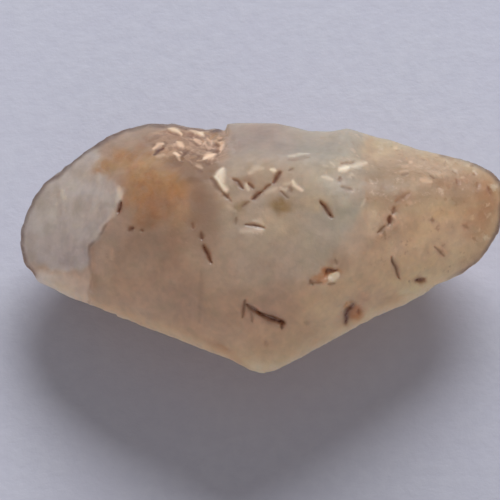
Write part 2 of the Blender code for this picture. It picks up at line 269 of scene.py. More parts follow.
# ---- what shows on the surface; every place is in pixels of the 500-pixel frame ---------------------
# Dark cracks and etched channels: (line, half width in pixels, depth in millimetres, darkness)
CRACKS = [
    # the channel below the middle, its hooked end and its short branches
    ([(258, 312.8), (266, 317), (275, 320.3), (283.5, 323)], 2.5, 0.09, 1.0),
    ([(246.5, 305), (253, 309.5), (260, 314)], 1.9, 0.06, 0.85),
    ([(282.4, 321.5), (281.4, 328.5)], 1.6, 0.05, 0.8),
    ([(244.6, 300.5), (244.2, 307), (242.8, 318)], 1.3, 0.05, 0.62),
    ([(251, 312), (252.6, 321)], 1.2, 0.03, 0.35),
    # left of the middle
    ([(201, 233), (202, 239)], 1.9, 0.05, 0.6),
    ([(203, 246), (206, 252), (211, 262)], 1.8, 0.08, 0.85),
    ([(192, 224), (193, 229)], 1.2, 0.03, 0.4),
    ([(201, 272), (200.8, 298), (199, 322)], 2.3, 0.004, 0.12),
    # the spot at the cap's edge and the speck beside it
    ([(120.2, 202), (118, 212)], 1.9, 0.06, 0.95),
    ([(129, 231), (133, 228)], 2.0, 0.05, 0.75),
    ([(141, 230.5), (143, 230.5)], 1.5, 0.03, 0.4),
    # the slanting cracks in the flaked patch
    ([(280, 172), (274, 182)], 2.1, 0.08, 0.88),
    ([(270.5, 184.5), (264.5, 189)], 1.5, 0.05, 0.7),
    ([(264.5, 189), (260.5, 192.5)], 1.2, 0.04, 0.5),
    ([(260.5, 192), (253, 199)], 1.8, 0.07, 0.92),
    ([(249, 202), (243, 206.5)], 1.6, 0.03, 0.45),
    ([(233, 179.5), (238, 182), (242, 188)], 1.7, 0.06, 0.78),
    ([(248.6, 183), (253, 188.5)], 1.6, 0.05, 0.68),
    ([(280.5, 191), (288, 198)], 1.2, 0.03, 0.45),
    ([(289, 170.5), (292, 168.5)], 1.4, 0.03, 0.4),
    # the next two are painted shadow along the lower edge of the bright three-cornered flake
    ([(224.5, 192), (227, 197.5)], 1.9, 0.07, 0.75),
    ([(227, 197.5), (231, 201)], 1.3, 0.03, 0.4),
    ([(245.5, 224.5), (253, 225.3), (263, 227.5)], 1.5, 0.06, 0.85),
    ([(235.8, 218), (235.5, 224)], 1.6, 0.02, 0.35),
    # the slit right of the middle
    ([(320.8, 201.5), (326, 209), (332, 217)], 1.9, 0.09, 0.95),
    # the chain down the right-hand side
    ([(409, 194), (402, 198), (396, 202)], 2.4, 0.01, 0.3),
    ([(395, 208), (393, 213)], 2.0, 0.04, 0.6),
    ([(390.3, 216), (389.8, 224)], 2.0, 0.07, 0.95),
    ([(388, 225), (386, 227)], 1.4, 0.02, 0.4),
    ([(384, 227), (378, 232)], 1.7, 0.04, 0.62),
    # the needle, and the specks about it
    ([(392.2, 257.5), (395, 266), (399.8, 278)], 1.7, 0.06, 0.72),
    ([(416, 280.5), (424, 280)], 2.3, 0.05, 0.85),
    ([(431, 220), (433, 220)], 2.2, 0.02, 0.4),
    ([(435, 247), (444, 256)], 1.2, 0.03, 0.45),
    ([(457, 180), (459, 183)], 2.2, 0.03, 0.4),
    ([(489, 188), (490.5, 193)], 2.4, 0.03, 0.45),
    ([(477, 183), (478, 187)], 1.8, 0.02, 0.3),
    ([(464, 226), (468, 228)], 2.2, 0.02, 0.25),
    # about the two orange pits
    ([(326, 272.4), (328, 270.6), (336.5, 270)], 1.7, 0.03, 0.9),
    ([(310, 281), (312.5, 284.5)], 1.7, 0.04, 0.6),
    ([(312, 283), (322, 282)], 1.3, 0.02, 0.4),
    ([(328.5, 283.5), (335, 283.5)], 1.3, 0.03, 0.4),
    ([(335, 259.5), (336.5, 264)], 1.5, 0.02, 0.35),
    ([(352.5, 305), (348.2, 309.5), (346.4, 315), (346, 322.5)], 2.7, 0.015, 1.0),
    ([(358.5, 311), (359, 314)], 1.9, 0.03, 0.4),
    # the pale end of the frosted face
    ([(340, 178), (339.5, 181)], 2.0, 0.03, 0.5),
    ([(341, 163.5), (353, 161.3)], 1.3, 0.03, 0.35),
    ([(342, 187.5), (352, 190.5)], 1.8, 0.02, 0.3),
    ([(289, 160.3), (309, 157)], 1.3, 0.02, 0.28),
    ([(290.5, 187), (291, 192)], 2.0, 0.02, 0.35),
    ([(265.5, 341), (267, 346)], 2.2, 0.01, 0.22),
    ([(305, 323), (307, 323)], 2.5, 0.01, 0.2),
]

# Chips with painted highlights: (line, half width in pixels, brightness of its painted highlight, where its dark edge
# of painted shadow lies from it, that edge's darkness)
CHIP_HIGHLIGHTS = [
    # along the top of the flaked patch
    ([(169, 128.5), (175, 130.5), (181, 134)], 1.8, 0.75, (0.5, 4.0), 0.25),
    ([(189, 129.5), (196, 131.5), (203, 135)], 1.9, 0.85, (-1.0, 4.2), 0.4),
    ([(195.5, 139), (200, 142.5)], 1.7, 0.55, (0.0, 3.5), 0.3),
    ([(177, 142.5), (183, 145.5)], 2.2, 0.7, (-0.5, 4.0), 0.4),
    ([(207.5, 138), (211, 141), (214.5, 146)], 1.9, 0.5, None, 0),
    ([(219, 142), (222, 145), (219.5, 152)], 2.6, 0.7, (-4.5, 0.5), 0.25),
    ([(163.6, 143.8), (158.5, 145.2), (153.8, 149.3)], 1.8, 0.68, (0.2, 4.6), 0.8),
    ([(156.6, 156.5), (163.6, 155)], 1.8, 0.35, None, 0),
    ([(174.4, 153.7), (178, 155.3), (181.5, 152.4)], 2.1, 0.82, (4.6, -1.0), 0.5),
    ([(205, 158.5), (209, 156), (214.5, 154.5)], 2.5, 0.85, (1.5, 6.3), 0.35),
    ([(212, 158), (212.2, 163)], 1.7, 0.5, None, 0),
    ([(197, 165.5), (202, 168)], 2.2, 0.4, (0.0, 4.0), 0.4),
    # the bright three-cornered flake below it
    ([(222.5, 169), (219.5, 173), (216, 178)], 2.8, 0.8, None, 0),
    ([(216, 177.5), (220, 184), (226.5, 190)], 3.2, 0.95, (-4.2, 1.4), 0.45),
    ([(222, 172), (219, 178), (222, 183)], 4.4, 0.75, None, 0),
    # among the slanting cracks
    ([(246, 183.5), (247.6, 189.5)], 2.3, 0.7, None, 0),
    ([(271, 170), (275.5, 171)], 2.0, 0.8, None, 0),
    ([(249, 173), (255, 169), (262, 168)], 2.4, 0.35, None, 0),
    ([(292.6, 181.5), (297, 187), (302.5, 191)], 1.9, 0.8, None, 0),
    ([(280.5, 187.5), (285, 190), (288, 188.5)], 1.8, 0.45, None, 0),
    ([(284, 184), (290, 182.5)], 1.7, 0.35, None, 0),
    ([(241, 231.5), (252, 231), (262, 229.5)], 3.0, 0.5, None, 0),
    ([(254.5, 221), (259, 221.6), (262.5, 224)], 2.3, 0.5, None, 0),
    ([(228, 206), (236, 211)], 2.0, 0.3, None, 0),
    ([(266, 193), (277, 188)], 1.8, 0.35, None, 0),
    ([(289, 156), (300, 154.5), (309, 153.5)], 1.5, 0.35, None, 0),
    # the flake with the brightest painted highlight, and the paler ones by it
    ([(339.5, 169.3), (348, 168.6)], 3.0, 1.0, None, 0),
    ([(347, 168.5), (357, 165), (366, 163.5)], 2.6, 0.55, None, 0),
    ([(322.6, 177), (332, 180)], 2.2, 0.5, None, 0),
    ([(361, 206), (365, 200)], 1.6, 0.3, None, 0),
    # down the right-hand side
    ([(393, 214.5), (394.5, 217)], 1.7, 0.45, None, 0),
    ([(386.5, 227.5), (388.5, 229)], 1.8, 0.45, None, 0),
    ([(380, 234.5), (382, 235.5)], 1.8, 0.5, None, 0),
    ([(408.5, 204), (411, 203)], 2.0, 0.3, None, 0),
    ([(410, 161), (411, 162)], 2.2, 0.45, None, 0),
    ([(394, 147.5), (396, 148.5)], 2.2, 0.4, None, 0),
    ([(421, 179), (431, 182)], 2.0, 0.4, None, 0),
    ([(462, 176.5), (464, 177)], 1.6, 0.3, None, 0),
    ([(449, 211), (453, 212)], 3.0, 0.3, None, 0),
    ([(440, 246.5), (446, 252)], 1.7, 0.4, None, 0),
    # about the channel and the pits
    ([(237, 308.5), (239, 310.5)], 2.2, 0.35, None, 0),
    ([(255, 305), (260, 309)], 1.4, 0.3, None, 0),
    ([(341, 308.5), (349, 303.5)], 1.6, 0.5, None, 0),
    # on the cap and below it
    ([(119.5, 188), (120.5, 197.5)], 2.4, 0.4, None, 0),
    ([(62, 190), (64.5, 199)], 2.2, 0.25, None, 0),
    ([(112, 250), (112, 259)], 2.0, 0.25, None, 0),
    ([(104.6, 308), (116, 313), (128.5, 319)], 1.8, 0.35, None, 0),
]

CAP = [(10, 266), (10, 200), (60, 145), (98, 148), (101, 168), (111, 180), (122, 189), (122, 197), (118, 206), (106, 226), (97, 238), (90, 247), (88, 268),
       (60, 270), (34, 264)]
CAP_EDGE = [(122, 186), (118, 212), (106, 227), (97, 238), (90, 247), (88.8, 259), (92, 276), (88, 290), (89, 304)]
# the lower corner of the blunt end, painted paler as a glow where light through the crystal comes out
CREAM_GLOW = [(24, 264), (60, 275), (88, 273), (90, 306), (60, 300), (24, 282)]
FROST = [(226, 116), (300, 114), (352, 120), (364, 130), (367, 170), (366, 202), (354, 226), (336, 250), (308, 284), (276, 298),
         (244, 280), (226, 250), (218, 222), (206, 196), (204, 172), (226, 160)]
STAIN = [(108, 168, 18, 6.5, 10, 1.0), (127, 158, 14, 10, 20, 1.0), (141, 146, 8, 6, 0, 0.8), (150, 160, 28, 16, 0, 1.0), (178, 170, 22, 16, 0, 0.95), (146, 172, 22, 20, 0, 0.95),
         (164, 184, 27, 22, -12, 0.85), (178, 152, 22, 9, 0, 0.5), (140, 190, 16, 22, 0, 0.85), (150, 214, 18, 14, 0, 0.7),
         (180, 212, 18, 18, 0, 0.5)]
# rust stains; the one at (184, 167) is painted shade below the flaked patch
RUST = [(114, 179, 13, 8, 25, 0.15), (184, 167, 26, 7, -6, 0.45), (150, 221, 17, 8, 6, 0.8), (187, 163, 11, 8, 0, 0.7), (176, 246, 14, 12, 0, 0.3), (163, 206, 16, 8, -20, 0.45),
        (140, 145, 6, 4, 0, 0.6), (112, 163, 12, 3, 6, 0.3), (170, 262, 22, 9, 40, 0.2), (93, 272, 3.5, 26, 2, 0.3),
        (404, 197, 9, 5, 25, 0.45), (395, 211, 20, 5, 48, 0.35), (372, 246, 12, 6, 45, 0.3), (344, 262, 10, 6, 0, 0.3),
        (363, 297, 7, 6, 0, 0.45), (358, 308, 9, 9, 0, 0.45), (489, 192, 10, 20, 0, 0.5), (478, 226, 14, 16, 0, 0.25),
        (440, 182, 24, 5, -8, 0.3), (482, 174, 12, 7, 20, 0.35), (462, 178, 10, 5, 0, 0.4), (470, 262, 18, 7, 32, 0.5), (247, 180, 6, 4, 0, 0.5),
        (332, 263, 5, 4, 0, 0.4), (368, 150, 3, 12, 0, 0.25), (366, 200, 3, 20, 0, 0.25), (222, 351, 18, 5, -28, 0.9),
        (236, 362, 14, 4.5, -24, 0.9), (349, 325, 7, 5, 0, 0.3), (320, 341, 14, 4, 28, 0.25), (392, 300, 12, 5, 25, 0.3),
        (130, 318, 24, 4, -20, 0.3)]
# steps of the blank that show only as a change of tone
SOFT_STEPS = [([(231, 118), (236, 172)], 18), ([(233, 168), (300, 172), (366, 168), (430, 172)], 30), ([(360, 132), (366, 168)], 16),
              ([(196, 236), (198, 345)], 20), ([(90, 258), (196, 240)], 18), ([(36, 268), (92, 266)], 20)]
SHOULDER = [(168, 158), (190, 164), (214, 170), (236, 163), (300, 168), (350, 167), (400, 172), (450, 184)]
LEFT_RIM = [(30, 268), (23.3, 254), (20.3, 241), (22, 231.5), (28.2, 217), (34.2, 202.4), (46.4, 183), (61, 174.5),
            (76.7, 158.8), (99.7, 143), (126.4, 127.3), (140, 126.5), (163, 123), (185, 126.5), (200, 130), (211, 131)]
RIGHT_RIM = [(452, 155), (470, 159), (484, 166), (495, 172), (501, 178), (503, 196), (500, 218), (496, 234), (488, 246), (480, 258), (465, 269.6),
             (451, 277.8), (440, 280.5)]
LOW_RIM = [(60, 300), (100, 313), (130, 325), (160, 337), (200, 352), (240, 366), (262, 372), (285, 366), (310, 355),
           (340, 340), (380, 318), (410, 302), (430, 290)]


OUTLINE = [(20, 245), (21, 230), (27, 213), (34, 197), (44, 183), (60, 171), (74, 159), (90, 148), (110, 135), (125, 128),
           (147, 123.5), (167, 123.5), (187, 127), (207, 129), (225, 130), (227, 124), (250, 123), (277, 123), (293, 127),
           (310, 131), (330, 131), (347, 128), (360, 132), (383, 138.5), (417, 148), (437, 152), (467, 158), (487, 167),
           (498, 176), (503.5, 187), (504.7, 200), (502.5, 214), (498.5, 234), (490, 247.5), (481.5, 260), (467, 271.5),
           (452, 280), (440, 284), (427, 293), (400, 307), (360, 325), (320, 347), (290, 363), (277, 370), (263, 373.5),
           (250, 370), (230, 359), (200, 348.5), (167, 335.5), (133, 322.5), (97, 308.5), (67, 297.5), (37, 281), (24, 264)]


def reach_of(path, middle, bins):
    """How far a closed line of places lies from the middle, in each direction."""
    angles = (np.arange(bins) + 0.5) / bins * 2 * math.pi
    ways = np.stack([np.cos(angles), np.sin(angles)], 1)
    best = np.zeros(bins)
    for a, b in zip(path, np.roll(path, -1, axis=0)):
        a, b = a - middle, b - middle
        side = b - a
        cross = ways[:, 0] * side[1] - ways[:, 1] * side[0]
        with np.errstate(divide="ignore", invalid="ignore"):
            far = (a[0] * side[1] - a[1] * side[0]) / cross
            part = (a[0] * ways[:, 1] - a[1] * ways[:, 0]) / cross
        hit = (far > 0) & (part >= -1e-6) & (part <= 1 + 1e-6)
        best = np.where(hit, np.maximum(best, far), best)
    return best


def fit_outline(points, bins=900):
    """Draws the skin in or out a little, in plan only, so that its outline in the picture is the crystal's."""
    middle = np.array(seen(262, 248))
    wanted_reach = reach_of(np.array([seen(*p) for p in OUTLINE]), middle, bins)
    # its corners are rounded, but for the notch in its upper side
    rounded = sum(np.roll(wanted_reach, k) * (4 - abs(k)) for k in range(-3, 4)) / 16
    notch = np.array(seen(226, 127)) - middle
    turns = (np.arange(bins) + 0.5) / bins * 2 * math.pi - math.atan2(notch[1], notch[0])
    near_notch = np.abs((turns + math.pi) % (2 * math.pi) - math.pi) < 0.08
    wanted_reach = np.where(near_notch, wanted_reach, rounded)

    def at_turn(values):
        return np.interp((turn - 0.5) % bins, np.arange(bins + 1), np.append(values, values[0]))

    for _ in range(2):
        uv = plane_of(points) - middle
        reach = np.linalg.norm(uv, axis=1)
        turn = (np.arctan2(uv[:, 1], uv[:, 0]) / (2 * math.pi) % 1.0) * bins
        coarse = 300
        at = np.minimum((turn * coarse / bins).astype(int), coarse - 1)
        now = np.zeros(coarse)
        np.maximum.at(now, at, reach)
        now = np.maximum(now, (np.roll(now, 1) + np.roll(now, -1)) / 2)
        now = np.interp((turn / bins * coarse - 0.5) % coarse, np.arange(coarse + 1), np.append(now, now[0]))
        outermost = smooth(reach / now, 0.90, 0.985)
        soft = sum(np.roll(rounded, k) for k in range(-9, 10)) / 19
        aim = at_turn(wanted_reach) * outermost + np.where(
            at_turn(near_notch * 1.0) > 0, at_turn(soft), at_turn(rounded)) * (1 - outermost)
        grow = (aim / now - 1.0) * smooth(reach / now, 0.62, 0.97)
        points = points + np.stack([uv[:, 0] * grow, uv[:, 1] * grow / SIN, np.zeros(len(points))], 1)
    return points


def rim_distance(points):
    """How far inside the outline each point shows, in millimetres."""
    uv = plane_of(points)
    d, _ = along(uv, OUTLINE + OUTLINE[:1])
    return d


def side_marks(points, normals):
    """Cracks on the faces that the camera doesn't see: (middle, direction, half length, half width, depth, darkness)."""
    rng = np.random.default_rng(11)
    hidden = np.where((normals @ BACK < -0.05) & (points[:, 2] > 0.25))[0]
    marks = []
    for i in rng.choice(hidden, 46, replace=False):
        turn = rng.normal(size=3) * np.array([1.0, 0.5, 0.7])
        line = np.cross(normals[i], turn)
        line /= np.linalg.norm(line)
        marks.append((points[i], line, rng.uniform(0.08, 0.42), rng.uniform(0.03, 0.07), rng.uniform(0.02, 0.09),
                      rng.uniform(0.35, 1.0)))
    return marks


def side_cracks(points, marks):
    dark, groove = np.zeros(len(points)), np.zeros(len(points))
    for middle, line, length, half, depth, strength in marks:
        near = np.where(np.abs(points - middle).max(axis=1) < length + 0.3)[0]
        d = points[near] - middle
        d = d + np.stack([noise(points[near], 0.3, 90 + k) for k in range(3)], 1) * 0.04
        run = d @ line
        off = np.linalg.norm(d - run[:, None] * line, axis=1)
        mask = (1 - smooth(off, half * 0.5, half * 1.5)) * (1 - smooth(np.abs(run), length * 0.6, length))
        dark[near] = np.maximum(dark[near], mask * strength)
        groove[near] = np.maximum(groove[near], mask * depth)
    return dark, groove


def flaked(uv, wobble):
    """The hackly, flaked patches."""
    return np.maximum.reduce([
        blob(uv, 192, 146, 40, 19, -4, 0.35, wobble),
        blob(uv, 222, 180, 17, 15, 0, 0.4, wobble) * 0.35,
        blob(uv, 260, 188, 38, 24, 25, 0.5, wobble) * 0.15,
        blob(uv, 345, 166, 22, 9, 15, 0.5, wobble) * 0.6,
        blob(uv, 440, 172, 46, 16, -14, 0.6, wobble) * 0.4,
        blob(uv, 388, 222, 14, 16, 40, 0.6, wobble) * 0.45,
    ])


def facing(normals):
    """1 where the surface faces the camera's side of the crystal, and 0 where it faces away."""
    return smooth(normals @ BACK, -0.05, 0.2)


def wanted(points, faces, marks, reach):
    """Which triangles carry detail finer than the even mesh."""
    normals = normals_of(points, faces)
    uv = plane_of(points)
    up = facing(normals)
    want = flaked(uv, np.stack([noise(points, 0.35, 41), noise(points, 0.35, 42)], 1) * 0.15) * up > 0.2
    for path, half, _, strength in CRACKS:
        want |= (along(uv, path)[0] < half * PX * 1.2 + reach) & (up > 0.01)
    for path, half, *_ in CHIP_HIGHLIGHTS:
        want |= (along(uv, path)[0] < half * PX * 1.2 + reach) & (up > 0.01)
    want |= (along(uv, CAP_EDGE)[0] < 0.1 + reach) & (up > 0.01)
    for px, py, rx, ry in ((323, 276, 18, 10), (352, 315, 10, 11)):
        want |= (blob(uv, px, py, rx, ry, 0, 0.2) > 0.1) & (up > 0.01)
    want |= side_cracks(points, marks)[0] > 0.15
    return want[faces].any(axis=1)


def facets(points, among, rng, count, tilt, lift):
    """A crust of small flat facets: how far each point stands out, and its facet's own number from 0 to 1."""
    seeds = points[rng.choice(among, count, replace=False)] + rng.normal(size=(count, 3)) * 0.02
    slopes = rng.normal(size=(count, 3)) * tilt
    raised = rng.uniform(-lift, lift, count)
    shade = rng.uniform(size=count)
    q = points[among]
    near = np.concatenate([
        ((q[i : i + 2000, None] - seeds[None]) ** 2).sum(axis=2).argmin(axis=1) for i in range(0, len(q), 2000)
    ])
    return ((q - seeds[near]) * slopes[near]).sum(axis=1) + raised[near], shade[near]


def shape_and_zones(points, faces, marks, slope):
    """Moves the points for the fine relief, and returns them with the colour zones at each."""
    rng = np.random.default_rng(7)
    normals = normals_of(points, faces)
    uv = plane_of(points)
    up = facing(normals)
    away = (1 - up) * (1 - smooth(points[:, 2], 3.5, 4.1))
    foot = smooth(points[:, 2], 0.02, 0.45)
    warp = np.stack([layered(points, 1.4, 20, 3), layered(points, 1.4, 30, 3)], 1) * 0.35
    small = np.stack([noise(points, 0.35, 41), noise(points, 0.35, 42)], 1) * 0.05
    tint = {}
    # the slopes to the back are clearer, and the light goes down into them
    edges = edges_of(faces)
    tint["clear"] = np.clip((slope + warp[:, 0] * 0.15 + 0.45) / 1.05, 0.0, 1.0)

    def spots(table, wobble):
        return np.maximum.reduce([blob(uv, *row[:5], 0.55, wobble) * row[5] for row in table])

    tint["cap"] = inside(uv + small * 2.0, CAP, 0.14)
    tint["capshade"] = tint["cap"] * smooth(-uv[:, 1] + warp[:, 0] * 0.6, -seen(0, 205)[1], -seen(0, 258)[1])
    # painted glow over the lower corner of the blunt end
    tint["cream_glow"] = inside(uv + small * 2.5 + warp * 0.2, CREAM_GLOW, 0.24) * up
    tint["stain"] = spots(STAIN, warp * 0.9) * up
    tint["rust"] = spots(RUST, warp * 0.5) * up
    tint["left"] = (1 - smooth(uv[:, 0] + warp[:, 0] * 0.8, seen(195, 0)[0], seen(262, 0)[0])) * (1 - tint["cap"])
    tint["frost"] = inside(uv + small * 2.5 + warp * 0.45, FROST, 0.26) * (
        1 - 0.85 * smooth(-uv[:, 1] + warp[:, 0], -seen(0, 200)[1], -seen(0, 300)[1])
    )
    tint["green"] = smooth(uv[:, 0] + warp[:, 0] * 0.8, seen(268, 0)[0], seen(318, 0)[0])
    # along the shoulder: rougher, and a little painted shade against the highlight band there
    tint["ledge"] = stroke(uv + warp * 0.15, SHOULDER, 15, 0.3, 0.0)
    # painted shade: darker, browner patches below and beside the flaked patch
    tint["shade"] = np.maximum.reduce([
        blob(uv, 199, 172, 24, 14, 0, 0.6, warp * 0.5),
        blob(uv, 185, 161, 21, 9, 8, 0.6, warp * 0.5),
        0.8 * blob(uv, 168, 139, 24, 8, 8, 0.6, warp * 0.5),
        0.6 * blob(uv, 204, 200, 15, 36, 0, 0.6, warp * 0.5),
    ])
    tint["tan"] = blob(uv, 256, 212, 60, 52, 0, 0.55, warp)
    # paler patches on the top; over the lower right the paler tone is painted light, where light through the crystal
    # comes out
    tint["pale"] = np.maximum.reduce([blob(uv, 362, 305, 60, 40, 25, 0.7, warp) * 0.65, blob(uv, 408, 278, 34, 24, 0, 0.6, warp), blob(uv, 424, 240, 24, 16, 0, 0.6, warp) * 0.3, 0.35 * blob(uv, 274, 226, 20, 13, 0, 0.6, warp * 0.5), 0.4 * blob(uv, 378, 150, 26, 12, 14, 0.6, warp * 0.5), 0.45 * blob(uv, 436, 209, 24, 10, 0, 0.6, warp * 0.5), 0.3 * blob(uv, 318, 203, 12, 9, 0, 0.6, warp * 0.5)])
    # painted light: paler over the lower left of the body
    tint["lowleft_light"] = np.maximum(blob(uv, 166, 288, 48, 32, 10, 0.7, warp), 0.75 * blob(uv, 102, 272, 12, 28, 0, 0.7, warp * 0.5))
    tint["tip"] = smooth(uv[:, 0] + 0.35 * (uv[:, 1] - seen(0, 200)[1]) + warp[:, 0] * 0.8, seen(340, 0)[0], seen(372, 0)[0])
    tint["end"] = smooth(uv[:, 0] + warp[:, 1] * 1.2, seen(455, 0)[0], seen(500, 0)[0])
    tint["yellow"] = np.maximum(blob(uv, 428, 163, 54, 17, -12, 0.5, warp * 0.7), blob(uv, 382, 150, 18, 18, 0, 0.5, warp * 0.5))
    tint["brown"] = np.maximum(blob(uv, 388, 187, 34, 21, 0, 0.6, warp * 0.6), blob(uv, 442, 195, 48, 17, 4, 0.6, warp * 0.6))
    # painted light: the lower front faces made paler, where light through the crystal comes out
    tint["low"] = smooth(-uv[:, 1] + warp[:, 1] * 0.8, -seen(0, 255)[1], -seen(0, 345)[1])
    border = rim_distance(points)
    # painted glow: paler, peach lower edges along the front, where light through the crystal comes out
    tint["edge"] = (1 - smooth(border + warp[:, 0] * 0.2, 0.06, 0.55)) * (1 - smooth(along(uv, LOW_RIM)[0], 0.4, 1.0))
    ragged = 1.0 + 0.45 * layered(points, 0.7, 98, 3)
    # painted shade: a thin broken dark band just inside the outline, along the upper left and round the right tip,
    # above the girdle
    rim = np.maximum(
        (1 - smooth(border * ragged, 0.05, 0.23)) * (1 - smooth(along(uv, LEFT_RIM)[0], 0.3, 0.5)),
        (1 - smooth(border * ragged, 0.04, 0.24)) * (1 - smooth(along(uv, RIGHT_RIM)[0], 0.3, 0.6))
        * (1 - smooth(along(uv, RIGHT_RIM)[1], 0.86, 0.99)),
    )
    tint["rim"] = rim * smooth(layered(points, 1.2, 95, 2), -0.75, -0.15) * smooth(normals[:, 2], -0.10, 0.16)
    tint["mauve"] = 1 - smooth(along(uv, LEFT_RIM)[0] + warp[:, 1] * 0.4, 0.10, 0.75)

    move = np.zeros(len(points))
    move += layered(points, 1.8, 50, 2) * 0.030
    move += layered(points, 0.55, 60, 3) * 0.012
    # growth lines across the long axis, as irregular terraces, plainest on the sides
    run = points[:, 0] + layered(points, 1.6, 70, 3) * 0.7 + points[:, 1] * 0.08
    saw = run / 0.78 - np.floor(run / 0.78)
    terrace = (smooth(saw, 0.0, 0.16) - saw) * smooth(noise(points, 1.9, 80), -0.25, 0.45)
    move += terrace * (0.012 + 0.040 * away)
    tint["terrace"] = smooth(saw, 0.0, 0.10) * (1 - smooth(saw, 0.10, 0.32)) * away * smooth(
        noise(points, 1.9, 80), -0.25, 0.45
    )

    # the flaked patches, in large facets and small ones
    wobble = small * 3
    rough = flaked(uv, wobble) * up
    patch = np.where(rough > 0.01)[0]
    large, shade = facets(points, patch, rng, 230, 0.050, 0.012)
    fine, glitter = facets(points, patch, rng, 520, 0.055, 0.007)
    move[patch] += rough[patch] * np.clip(large + fine, -0.08, 0.06)
    tint["flake"] = rough
    tint["cell"] = np.zeros(len(points))
    tint["cell"][patch] = 0.55 * shade + 0.45 * glitter

    # chips, each a raised ridge with a painted highlight and a painted shadow along the edge cut in below it, and a
    # scatter of small ones between
    bright, undercut_shadow = np.zeros(len(points)), np.zeros(len(points))
    chip_highlights = list(CHIP_HIGHLIGHTS)
    for x, y, rx, ry, most in ((194, 146, 37, 15, 0.6),) * 15 + ((430, 168, 50, 14, 0.35),) * 13 + ((345, 168, 22, 10, 0.4),) * 4:
        r, a = math.sqrt(rng.uniform()), rng.uniform(0, 2 * math.pi)
        x, y = x + rx * r * math.cos(a), y + ry * r * math.sin(a)
        length, lean = rng.uniform(2.0, 6.0), rng.normal(0.2, 0.7)
        path = [(x, y), (x + length * math.cos(lean), y + length * math.sin(lean))]
        edge = (0.0, rng.uniform(2.6, 3.6)) if rng.uniform() < 0.5 else None
        chip_highlights.append((path, rng.uniform(1.3, 2.0), rng.uniform(0.15, most), edge, rng.uniform(0.15, 0.4)))
    for path, half, strength, edge, darkness in chip_highlights:
        bright = np.maximum(bright, stroke(uv + small * 0.9, path, half * 1.38, 0.35, 0.0) * min(1.0, strength * 1.12))
        if edge is not None:
            shifted = [(x + edge[0], y + edge[1]) for x, y in path]
            undercut_shadow = np.maximum(undercut_shadow, stroke(uv + small * 0.9, shifted, half * 1.0, 0.4, 0.0) * min(1.0, darkness * 1.25))
    bright, undercut_shadow = bright * up, undercut_shadow * up
    tint["chip_highlight"] = bright * (1 - undercut_shadow)
    tint["undercut_shadow"] = undercut_shadow
    move += 0.022 * bright * bright - 0.035 * undercut_shadow

    # the cracks and channels
    dark, halo = np.zeros(len(points)), np.zeros(len(points))
    grain = 0.90 + 0.35 * noise(points, 0.16, 43)
    for path, half, depth, strength in CRACKS:
        ragged = uv + small * 0.7
        core = stroke(ragged, path, half * 1.35, 0.45, 0.0) * up
        move -= 1.25 * depth * core
        dark = np.maximum(dark, core * strength * np.clip(grain, 0, 1))
        halo = np.maximum(halo, stroke(ragged, path, half * 2.6) * up * strength)
    side, groove = side_cracks(points, marks)
    move -= groove
    tint["crack"] = np.maximum(dark, side)
    tint["halo"] = np.maximum(halo, smooth(side, 0.0, 0.4) * 0.6)

    # the edge of the blunt end's smooth face: a pale lip with a thin brown line along it
    d, t = along(uv + small * 1.2, CAP_EDGE)
    lip, _ = along(uv + small * 1.2 + np.array([3.2 * PX, 0.0]), CAP_EDGE)
    tint["line"] = (1 - smooth(d, 0.01, 0.085)) * up * smooth(t, 0.1, 0.25) * (0.48 - 0.22 * smooth(t, 0.5, 0.7))
    tint["line"] *= smooth(noise(points, 0.5, 97), -0.7, 0.2)
    tint["lip"] = (1 - smooth(lip, 0.03, 0.11)) * up * (1 - smooth(t, 0.45, 0.6))
    move += 0.008 * tint["lip"] - 0.012 * tint["line"]

    # the orange pits, and the white grain in the larger
    pit = np.maximum.reduce([
        blob(uv, 317.5, 277, 7.0, 3.6, 24, 0.6, small * 1.5) * 0.7,
        blob(uv, 321.5, 278, 8.0, 4.5, 10, 0.5, small * 1.5) * 0.8,
        blob(uv, 323.5, 271.5, 4.0, 4.0, 0, 0.6, small * 1.5) * 0.8,
        blob(uv, 334, 272, 7, 4, 0, 0.6, small * 1.5) * 0.6,
        blob(uv, 355.6, 313.4, 6.9, 7.6, 20, 0.5, small * 1.2),
    ]) * up
    grain = np.maximum(
        blob(uv, 332.6, 277.2, 4.9, 4.4, 0, 0.22, small * 0.5), blob(uv, 336.0, 275.4, 3.5, 3.5, 25, 0.22, small * 0.5)
    ) * up
    tint["pit"] = pit * (1 - grain)
    tint["white"] = grain
    move += 0.030 * grain - 0.010 * pit
    tint["olive"] = np.maximum.reduce([
        blob(uv, 280, 206, 11, 9, -15, 0.6, small * 2),
        blob(uv, 243, 205, 9, 5, 20, 0.6, small * 2) * 0.6,
        blob(uv, 217, 137, 8, 3.5, 0, 0.6, small * 2) * 0.7,
        blob(uv, 268, 240, 26, 8, 0, 0.7, warp * 0.5) * 0.12,
    ]) * up
    beside = [(112, 228), (98, 243), (93, 252), (92, 264), (94, 280), (92, 300)]
    beside = np.maximum(1 - smooth(along(uv + warp * 0.3, beside)[0], 0.15, 1.0), blob(uv, 112, 180, 15, 9, 25, 0.5, warp * 0.4))
    tint["beside"] = beside * (1 - tint["cap"]) * (1 - tint["cream_glow"]) * up
    tint["away"] = away
    move = spread(move, edges, 2)
    points = relax(points + normals * (move * foot)[:, None], faces, 2, 0.5, (0.25 + 0.5 * rough)[:, None])
    points[:, 2] = np.maximum(points[:, 2], 0.0)
    return points, tint


